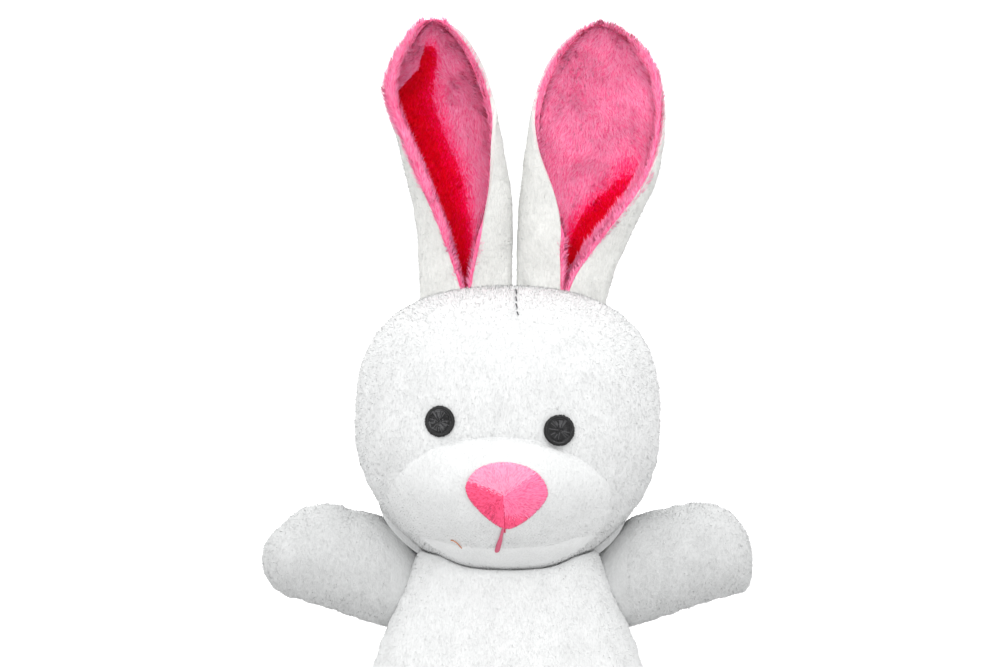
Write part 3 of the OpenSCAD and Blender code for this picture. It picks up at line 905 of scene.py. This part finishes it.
# Height over the middle of the head, left edge, right edge, place of the fold
# between them, wrap of each flap in degrees, depth and set-back.
LEFT_EAR = [
    [46, 3, 34, 0.53, 178, 178, 5.5, 4],
    [54, 2.9, 36, 0.54, 174, 171, 6.2, 4.5],
    [62, 2.8, 39.2, 0.55, 168, 159, 7.2, 5],
    [71, 2.9, 44.4, 0.58, 160, 149, 8.5, 5.5],
    [86, 4.2, 52.2, 0.66, 138, 133, 10.5, 6],
    [100, 6, 54.8, 0.68, 115, 112, 10, 6.5],
    [113, 7.8, 55.4, 0.6, 96, 96, 8, 7],
    [123, 10.4, 54, 0.55, 84, 84, 7.5, 7],
    [131, 14.6, 50.4, 0.5, 74, 74, 7, 6.5],
    [136.5, 19.4, 45.4, 0.5, 66, 66, 6, 6],
    [139.9, 23.6, 40.8, 0.5, 60, 60, 5, 5.5],
    [141.6, 27.6, 36.8, 0.5, 55, 55, 4, 5.5],
    [142.2, 31, 33.4, 0.5, 55, 55, 3, 5.5],
]
RIGHT_EAR = [
    [46, -31, 2, 0.5, 178, 178, 6, 4],
    [54, -31.4, 2, 0.5, 170, 173, 7, 4.5],
    [62, -32, 2, 0.5, 161, 166, 8.5, 5],
    [72, -32.8, 2, 0.5, 152, 158, 10.5, 5],
    [85, -35.2, 1, 0.46, 140, 140, 12.5, 5],
    [100, -38.6, -1.4, 0.42, 124, 122, 14, 4.5],
    [111, -42, -3.4, 0.36, 114, 101, 14, 3.5],
    [119, -43.4, -5.4, 0.33, 108, 92, 13, 2],
    [127, -41.4, -8.2, 0.33, 98, 86, 11, 0],
    [135, -37.4, -12.8, 0.36, 88, 82, 9, -2.5],
    [140.5, -33.8, -18, 0.4, 78, 76, 7, -4.5],
    [143.4, -30, -22.6, 0.45, 70, 70, 5, -6],
]


def ear_surface(rows, s, height, offset):
    """Points of an ear's sheet: s from -1 to 1 across, height 0 to 1, offset outward."""
    stations = np.linspace(0, 1, len(rows))
    values = np.array(rows)
    z, left, right, fold, wrap_l, wrap_r, depth, back = (
        spline(stations, values[:, k], height) for k in range(8))
    middle = left + (right - left) * fold
    wrap = np.where(s < 0, wrap_l, wrap_r)
    angle = np.radians(wrap * s)
    widest = np.sin(np.radians(np.minimum(90, wrap)))
    a = np.where(s < 0, middle - left, right - middle) / widest - 2.0
    b = depth - 1.0
    x = middle + a * np.sin(angle)
    y = back + b * np.cos(angle)
    n = unit(np.stack([np.sin(angle) / a, np.cos(angle) / b], -1))
    x = x + offset * n[..., 0]
    y = y + offset * n[..., 1]
    follow = 1 - smooth(height, 0, 0.3)
    drop = crown_z(x, y) - crown_z(middle, back)
    z = z + follow * drop
    return np.stack([x, y, z], -1) + HEAD


def ear_edge(rows, end, height):
    """The lining's rim at one side: its points, its way past the edge and its outside."""
    rim = ear_surface(rows, end, height, 0)
    near = ear_surface(rows, end * 0.96, height, 0)
    past = unit(rim - near)
    out = unit(ear_surface(rows, end, height, 1.0) - rim)
    return rim, past, unit(out - past * np.sum(out * past, -1, keepdims=True))


def lining_grids(rows, height, inner_columns, bead, borders, rolls):
    """Face and back of the pink layer, with a rolled bead along both edges. A border
    is the share of white beside the pink and the height where that ends. A roll is
    the height where the bead thins."""
    swing = np.radians(np.linspace(-90, 118, BEAD_COLUMNS))
    ends = []
    for width, top in borders:
        ends.append(1 - width * smooth(height, 0.2, 0.38) * (1 - smooth(height, top, top + 0.15)))
    face = []
    back = []
    s = np.linspace(-0.955, 0.955, inner_columns)
    lip = bell(1 - np.abs(s), 0.2)
    grid_s, grid_h = grids(s, height)
    grid_s = grid_s * np.where(grid_s < 0, ends[0][:, None], ends[1][:, None])
    middle = ear_surface(rows, grid_s, grid_h, -0.9 - lip[None] * (bead - 0.9))
    behind = ear_surface(rows, grid_s, grid_h, 0.1)
    for end, reach, fade in zip((-1, 1), ends, rolls):
        rim, past, out = ear_edge(rows, end * reach, height)
        thin = (0.45 + 0.55 * smooth(height, 0.05, 0.4)) * (1 - 0.4 * smooth(height, fade, fade + 0.15))
        thin = thin[:, None, None]
        core = rim - past * 0.9 * thin[:, 0] + out * 0.15
        turn = swing[::-1] if end < 0 else swing
        tuck = 1 - 0.9 * smooth(1 - reach, 0, 0.04)[:, None] * (np.sin(turn) > 0)[None]
        way = past[:, None] * np.cos(turn)[None, :, None] + out[:, None] * (np.sin(turn) * tuck)[..., None]
        swell = bead * thin * (1 + 0.12 * noise(core, 6.0, 77 + end))[:, None, None]
        face.append(core[:, None] + way * swell)
        back.append(core[:, None] + way * swell * 0.45)
    return (
        np.concatenate([face[0], middle, face[1]], 1),
        np.concatenate([back[0], behind, back[1]], 1),
        np.concatenate([np.full(BEAD_COLUMNS, -1.0), s, np.full(BEAD_COLUMNS, 1.0)]),
    )


def make_ear(side, rows, seed, shade_at, borders, rolls):
    """An ear: white back, pink lining with rolled edges, and the pile of both, with shade painted into the
    lining's fold.
    """
    rng = np.random.default_rng(seed)
    levels = 100
    height = np.linspace(0, 1, levels)
    s, grid_h = grids(np.linspace(0.985, -0.985, 110), height)
    back = ear_surface(rows, s, grid_h, 1.7)
    soft = 0.6 * noise(back, 13, seed) + 0.3 * noise(back, 5.5, seed + 1)
    gather = np.sin(s * 30 + 3 * noise(back, 9, seed + 2)) * (1 - smooth(grid_h, 0, 0.22))
    back = back + grid_normals(back) * (soft + 0.3 * gather)[..., None]
    outer = shell(f"{side}_ear_back", back, ear_surface(rows, s, grid_h, 0.15), [WHITE_EAR])
    fuzz = white_fuzz(f"{side}_ear_back_pile", back, rng, 3.0, 1.0, down=-0.7)

    face, behind, across = lining_grids(rows, np.linspace(0.015, 1, levels), 84, 1.9, borders, rolls)
    soft = 0.7 * noise(face, 12, seed + 5) + 0.35 * noise(face, 5, seed + 6)
    inside = smooth(1 - np.abs(across), 0, 0.2)[None] * smooth(height, 0, 0.1)[:, None]
    face = face + grid_normals(face) * (soft * inside)[..., None]
    lining = shell(f"{side}_ear_lining_sheet", face, behind, [PINK, PINK_BACKING_PAINTED_SHADE])
    # Lining cells in the fold's shade get the deep red backing: painted shade under the pile.
    painted_shade_cells = np.zeros(face.shape[:2])
    flat_part = slice(BEAD_COLUMNS, -BEAD_COLUMNS)
    painted_shade_cells[:, flat_part] = shade_at(face[:, flat_part])
    painted_shade_cells = (painted_shade_cells[:-1, :-1] > 0.6).astype(np.int32).ravel()
    marks = np.zeros(len(lining.data.polygons), np.int32)
    marks[:len(painted_shade_cells)] = painted_shade_cells
    lining.data.polygons.foreach_set("material_index", marks)
    roots, ns, up, place = scatter(face, grid_normals(face), 9.0, rng)
    on_first_side = place < 0.5
    wrapped = np.where(on_first_side, place, 1 - place) * (len(across) - 1) < BEAD_COLUMNS / 2
    bordered = np.where(on_first_side, borders[0][0], borders[1][0]) > 0.05
    keep = ~(wrapped & bordered & (up > 0.2) & (up < 0.93)) & (up < 0.99)
    roots, ns, up, place = roots[keep], ns[keep], up[keep], place[keep]
    edge = np.abs(np.interp(place, np.linspace(0, 1, len(across)), across)) > 0.97
    # Pile in the fold's shade takes the darker reds, darkest where the shade is deepest: painted shade.
    deep = shade_at(roots) * ~edge
    nap = np.stack([
        0.5 * noise(roots, 9, seed + 7),
        0.2 * noise(roots, 9, seed + 8),
        1.0 + 0.5 * noise(roots, 11, seed + 9),
    ], -1)
    tone = deep + 0.13 * rng.normal(size=len(roots))
    dark = (tone > 0.25) & (deep > 0.1)
    depth = np.digitize(tone[dark], [0.4, 0.56, 0.8, 0.97])
    pink = [lining]
    for label, chosen, length, colors, shares in (
        ("pile", ~dark, 2.2, PINK_PILE, [0.4, 0.35, 0.2, 0.05]),
        ("painted_shade_pile", dark, 1.4, PINK_PILE_PAINTED_SHADE, depth),
    ):
        pink.append(pile(
            f"{side}_ear_lining_{label}", roots[chosen], ns[chosen], nap[chosen], length, 0.1, colors, rng,
            spread=0.2, curl=0.3, clump=0.45, shares=shares))
    attach((outer, fuzz), f"{side}_ear")
    attach(pink, f"{side}_ear")
    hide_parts(f"{side}_ear_outer")
    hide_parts(f"{side}_ear_lining")


# Where shade is painted on the ears' pink: a band along each ear's fold.
def shaded(points, heights, middles, halves, fold):
    """1 inside a band given by its middle and half width at some heights over the
    head's middle. Its border is clear on the fold's side and soft on the other."""
    z = points[..., 2] - HEAD[2]
    away = fold * (points[..., 0] - np.interp(z, heights, middles)) / np.interp(z, heights, halves)
    inside = np.where(away > 0, 1 - smooth(away, 1.0, 1.3), 1 - smooth(-away, -0.3, 3.3))
    return inside * smooth(z, heights[0] - 1, heights[0] + 3) * (1 - smooth(z, heights[-1] - 10, heights[-1]))


def left_ear_shade(points):
    """How deep in shade the left ear is: beside its folded right edge, less so higher up."""
    weaker = 1 - smooth(points[..., 2] - HEAD[2], 70, 112)
    return weaker * shaded(
        points, [52, 56, 64, 73, 84, 94, 112], [18.6, 19.8, 23.0, 28.6, 37.4, 43.0, 50],
        [0.8, 1.2, 2.6, 4.2, 4.2, 3.6, 3.0], 1)


def right_ear_shade(points):
    """The right ear is in shade along its long fold, up to the notch at the tip."""
    return shaded(
        points, [46, 66, 87, 104, 112, 117, 121, 126, 140],
        [-14, -16.5, -22.0, -29.0, -32.2, -34.4, -32.0, -28.9, -26.0],
        [1.4, 3.0, 4.8, 5.0, 5.2, 6.0, 4.4, 2.6, 1.6], -1)


# ---- Glove ----

# Height, half width and half depth, from the hem to the inside of the neck's lip.
GLOVE_ROWS = np.array([
    [0, 62, 38], [14, 61.4, 37.6], [34, 59.8, 36.8], [56, 56.8, 35.4], [76, 53, 33.6],
    [94, 48, 32], [106, 44.4, 30.6], [114, 41.2, 29.6], [121, 38, 28.6], [126, 35.4, 27.4],
    [129, 33.2, 26.2], [130.6, 31.4, 24.4], [130.7, 29.6, 22.8], [130, 26, 19.6],
], float)


def glove_surface(t, v):
    """The glove from hem (v = 0) to the lip at the neck (v = 1) at angle t."""
    stations = np.linspace(0, 1, len(GLOVE_ROWS))
    z, a, b = (spline(stations, GLOVE_ROWS[:, k], v) for k in range(3))
    x, y = a * np.cos(t), b * np.sin(t)
    radius = LIP_RADIUS + LIP_FULLNESS * smooth(-np.sin(t), 0.6, 0.95)
    below_head = HEAD[2] - GLOVE_ROWS[:, 0].max()
    ball = below_head - np.sqrt(radius**2 - np.minimum(x * x + y * y, 1650))
    return np.stack([x, y, z + ball * smooth(v, 0.62, 0.93)], -1)


def glove_relief(p, t):
    """Seams, soft hanging folds and a stitched hem on the glove."""
    z = p[..., 2]
    side = np.abs(p[..., 1])
    seam = -0.9 * bell(side, 1.0) - 0.5 * bell(side, 4.0)
    crimp = 0.25 * np.sin(z * 0.85 + 2 * noise(p, 10, 31)) * bell(side, 6)
    calm = 1 - 0.8 * smooth(z, 120, 128)
    hang = 1.6 * np.sin(7 * t + 1.3 * noise(p, 60, 32)) * (1 - smooth(z, 10, 105))
    hang = hang + 0.9 * noise(p * np.array([1, 1, 0.35]), 17, 33) * (1 - smooth(z, 60, 130) * 0.5)
    hem = -0.5 * bell(z - 12, 0.9) + 0.35 * bell(z - 6, 5)
    return (seam + crimp + hang + hem + 0.25 * noise(p, 8, 34)) * calm


def make_glove():
    """The front and back panels of the glove."""
    rng = np.random.default_rng(12)
    for name, start, stop in (("glove_front", -math.pi, 0), ("glove_back", 0, math.pi)):
        t, v = grids(np.linspace(start, stop, 190), np.linspace(0, 1, 150))
        base = glove_surface(t, v)
        normal = grid_normals(base)
        relief = glove_relief(base, t)[..., None]
        outer = base + normal * relief
        inner = base - normal * 1.8 + normal * (0.5 * relief)
        piece = shell(name, outer, inner, [WHITE])
        fuzz = white_fuzz(name + "_pile", outer, rng, 2.2, 1.0)
        attach((piece, fuzz), "glove")
        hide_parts(name + "_panel")


def make_glove_lining():
    """Cotton inside the glove, its band at the neck and the plush turned up at the hem."""
    for name, start, stop, low, high, near, far, material, node in (
        ("glove_front_lining_sheet", -math.pi, 0, 0.03, 0.84, 2.4, 2.9, COTTON, "glove_front_lining"),
        ("glove_back_lining_sheet", 0, math.pi, 0.03, 0.84, 2.4, 2.9, COTTON, "glove_back_lining"),
        ("hem_band", -math.pi, math.pi, 0.003, 0.07, 3.1, 4.3, WHITE, "hem_turn_up"),
        ("neck_band", -math.pi, math.pi, 0.5, 0.86, 3.1, 3.8, COTTON, "neck_lining_edge"),
    ):
        t, v = grids(np.linspace(start, stop, 121), np.linspace(low, high, 50))
        base = glove_surface(t, v)
        normal = grid_normals(base)
        folds = (0.5 * glove_relief(base, t))[..., None]
        face = base - normal * (near - folds)
        piece = shell(name, face, base - normal * (far - folds), [material])
        attach((piece,), "glove")
        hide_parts(node)


# ---- Arms ----

# Place out to the side, height, half height, half depth and set-back.
ARM_ROOT = [
    [20, 120, 6, 6, 6], [30, 124, 11, 9.5, 7], [36, 126.8, 16, 13.6, 8],
    [42, 129.6, 19.2, 15.2, 8], [48, 131.4, 19.6, 15.8, 7.8],
]
LEFT_ARM = np.array(ARM_ROOT + [
    [54, 133.2, 19.2, 16, 7], [61, 135.2, 18.9, 16.2, 6], [68, 136.8, 18.2, 15.8, 5.5],
    [75, 137, 16.4, 14.2, 5], [80.5, 135.6, 13.6, 11.5, 4.5], [83.8, 133.8, 10.2, 7.8, 4.5],
    [85.2, 132.8, 6, 4, 4.5], [85.7, 132.6, 0, 0, 4.5],
])
RIGHT_ARM = np.array(ARM_ROOT + [
    [54, 133, 19, 16, 7], [60.5, 135.2, 19, 16.2, 6], [67, 136.2, 18, 15.8, 5.5],
    [73.5, 136.2, 16, 14.2, 5], [79, 134.6, 12.8, 11.5, 4.5], [83.4, 134.4, 8.6, 7.8, 4.5],
    [85.6, 134.6, 4.4, 4, 4.5], [86.1, 134.8, 0, 0, 4.5],
])


def arm_surface(rows, t, v, inset=0.0):
    """An arm from its root (v = 0) to the tip of the paw (v = 1) at angle t."""
    steps = np.hypot(np.diff(rows[:, 0]), 0.6 * np.diff(rows[:, 2]))
    stations = np.concatenate([[0], np.cumsum(steps)])
    stations = stations / stations[-1]
    x, z, high, deep, back = (spline(stations, rows[:, k], v) for k in range(5))
    high = np.maximum(high - inset, 0)
    deep = np.maximum(deep - inset, 0)
    reach = np.where(v > 0.5, x - inset * smooth(v, 0.6, 1.0), x)
    return np.stack([reach, back + deep * np.cos(t), z + high * np.sin(t)], -1)


def arm_relief(p, t):
    """Seams along the arm's top and underside, and soft lumps."""
    x = p[..., 0]
    edge = np.abs(np.cos(t)) * 14
    seam = -0.8 * bell(edge, 1.0) - 0.4 * bell(edge, 4.0)
    crimp = 0.22 * np.sin(x + 2.5 * noise(p, 8, 41)) * bell(edge, 5) * smooth(x, 44, 56)
    return seam + crimp + 0.5 * noise(p, 17, 42) + 0.2 * noise(p, 8, 43)


def make_arm(side, rows, sign, seed):
    """An arm's two panels, worked out for the left and mirrored for the right."""
    rng = np.random.default_rng(seed)
    flip = np.array([sign, 1, 1])
    for face, start, stop in (("front", math.pi / 2, 1.5 * math.pi), ("back", -math.pi / 2, math.pi / 2)):
        t, v = grids(np.linspace(start, stop, 80), 1 - (1 - np.linspace(0, 1, 110)) ** 1.25)
        v[-1] = 1
        base = arm_surface(rows, t, v)
        normal = grid_normals(base)
        normal[-1] = np.array([1.0, 0, 0])
        lift = arm_relief(base, t) * smooth(1 - v, 0, 0.06)
        outer = base + normal * lift[..., None]
        inner = arm_surface(rows, t, v, 1.6)
        if sign < 0:
            outer = (outer * flip)[:, ::-1]
            inner = (inner * flip)[:, ::-1]
        # The arms wear the darker copy of the plush: painted shade.
        piece = shell(f"{side}_arm_{face}", outer, inner, [WHITE_ARM_PAINTED_SHADE], cap=True)

        def inside(p):
            q = p * flip
            ring = (q[:, 0] / 45.0) ** 2 + (q[:, 1] / 29.0) ** 2
            return (ring < 0.9) & (q[:, 2] < 150)

        fuzz = white_fuzz(f"{side}_arm_{face}_pile", outer[:-1], rng, 3.0, 1.0, down=0.5, hide=inside)
        for part in (piece, fuzz):
            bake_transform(part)
        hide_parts(f"{side}_arm_{face}_panel")


# ---- The puppet ----

make_head()
make_muzzle()
make_nose()
make_mouth()
make_eye("left", 51)
make_eye("right", 52)
make_small_stitches()
make_ear("left", LEFT_EAR, 60, left_ear_shade, [(0.1, 0.8), (0.03, 0.5)], (0.15, 0.5))
make_ear("right", RIGHT_EAR, 70, right_ear_shade, [(0.0, 0.5), (0.07, 0.82)], (0.75, 0.35))
make_glove()
make_glove_lining()
make_arm("left", LEFT_ARM, 1, 80)
make_arm("right", RIGHT_ARM, -1, 90)

# Inner pieces keep the shape of the CAD and get a material.
CARRIED = {
    "head_fill": WADDING, "muzzle_fill": WADDING, "left_paw_fill": WADDING, "right_paw_fill": WADDING,
    "pocket_hem": COTTON, "finger_pocket": COTTON,
    "left_arm_lining": COTTON, "right_arm_lining": COTTON,
}
for node, material in CARRIED.items():
    carried = bpy.data.objects[node]
    for slot in carried.material_slots:
        slot.material = material
